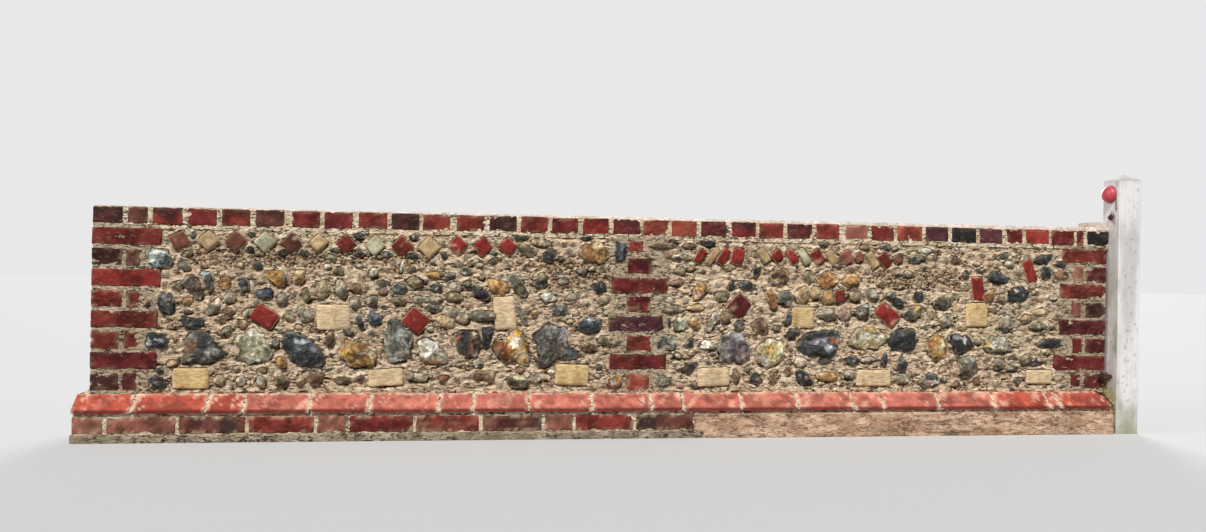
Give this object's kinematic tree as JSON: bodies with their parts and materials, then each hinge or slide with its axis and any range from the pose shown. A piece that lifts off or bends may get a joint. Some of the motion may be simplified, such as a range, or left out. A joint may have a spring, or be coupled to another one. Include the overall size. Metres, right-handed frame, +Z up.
{
  "type": "flint boundary wall",
  "caption": "Low boundary wall: flint bays between toothed brick quoins and a brick pier, on a bevelled brick plinth, under a header coping, with a timber end post.",
  "frame": {"origin": "on the ground, midway along the flint and brick wall and midway through its thickness", "axes": "+X along the wall to the timber post, +Y from the street face to the garden face, +Z up"},
  "size_m": [4.153, 0.34, 1.086],
  "materials": {
    "brick": "matte",
    "plinth_brick": "matte",
    "base_brick": "matte",
    "mortar": "matte",
    "flintwork": "matte",
    "painted_timber": "satin",
    "reflector_rim": "gloss",
    "reflector_lens": "gloss",
    "rusted_iron": "matte"
  },
  "bodies": {
    "root": {"footing_strip": "mortar", "base_course": "base_brick", "plinth_bed_joint": "mortar", "plinth_front": "plinth_brick", "plinth_back": "plinth_brick", "plinth_hearting": "mortar", "wall_bed_joint": "mortar", "end_flaunching": "mortar", "foot_haunching": "mortar", "left_quoin": "brick", "right_quoin": "brick", "middle_pier": "brick", "left_panel_front": "flintwork", "left_panel_back": "flintwork", "right_panel_front": "flintwork", "right_panel_back": "flintwork", "coping_bed_joint": "mortar", "coping_course": "brick", "mortar_capping": "mortar", "post_fillet": "mortar", "end_post": "painted_timber", "post_packing": "mortar", "reflector_rim": "reflector_rim", "reflector_lens": "reflector_lens", "upper_bolt": "rusted_iron", "lower_bolt": "rusted_iron"}
  },
  "joints": []
}
